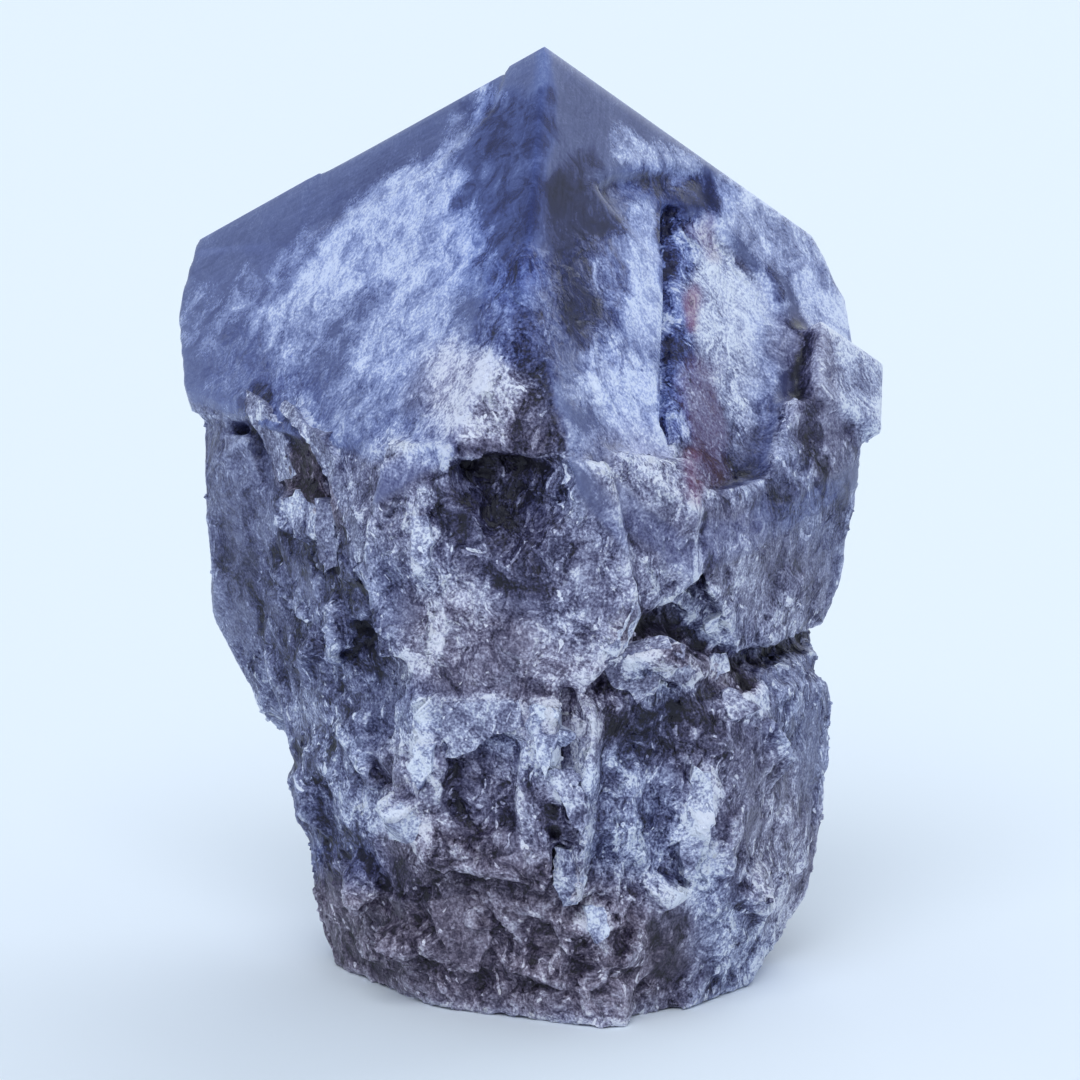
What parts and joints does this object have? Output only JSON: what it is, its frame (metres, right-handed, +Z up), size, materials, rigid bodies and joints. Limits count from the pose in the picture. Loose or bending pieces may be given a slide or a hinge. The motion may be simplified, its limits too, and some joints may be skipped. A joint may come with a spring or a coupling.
{
  "type": "fluorite cluster",
  "caption": "Hand-sized purple crystal specimen: a large cube corner standing point up, with smaller crystals grown into its flanks, on a broken and etched body with a flat foot.",
  "frame": {"origin": "centre of the flat cleavage face that the specimen stands on, with the crystal's point almost straight above it", "axes": "+Z up from the foot to the point; -Y is the front, where the sharp ridge between the two large faces is"},
  "size_m": [0.0731, 0.0605, 0.0933],
  "materials": {
    "purple_fluorite": "translucent slate-purple crystal, clean growth faces at the point, frosted and etched elsewhere, with lavender-white crusts and nearly black hollows"
  },
  "bodies": {
    "root": {"fluorite_cluster": "purple_fluorite"}
  },
  "joints": []
}
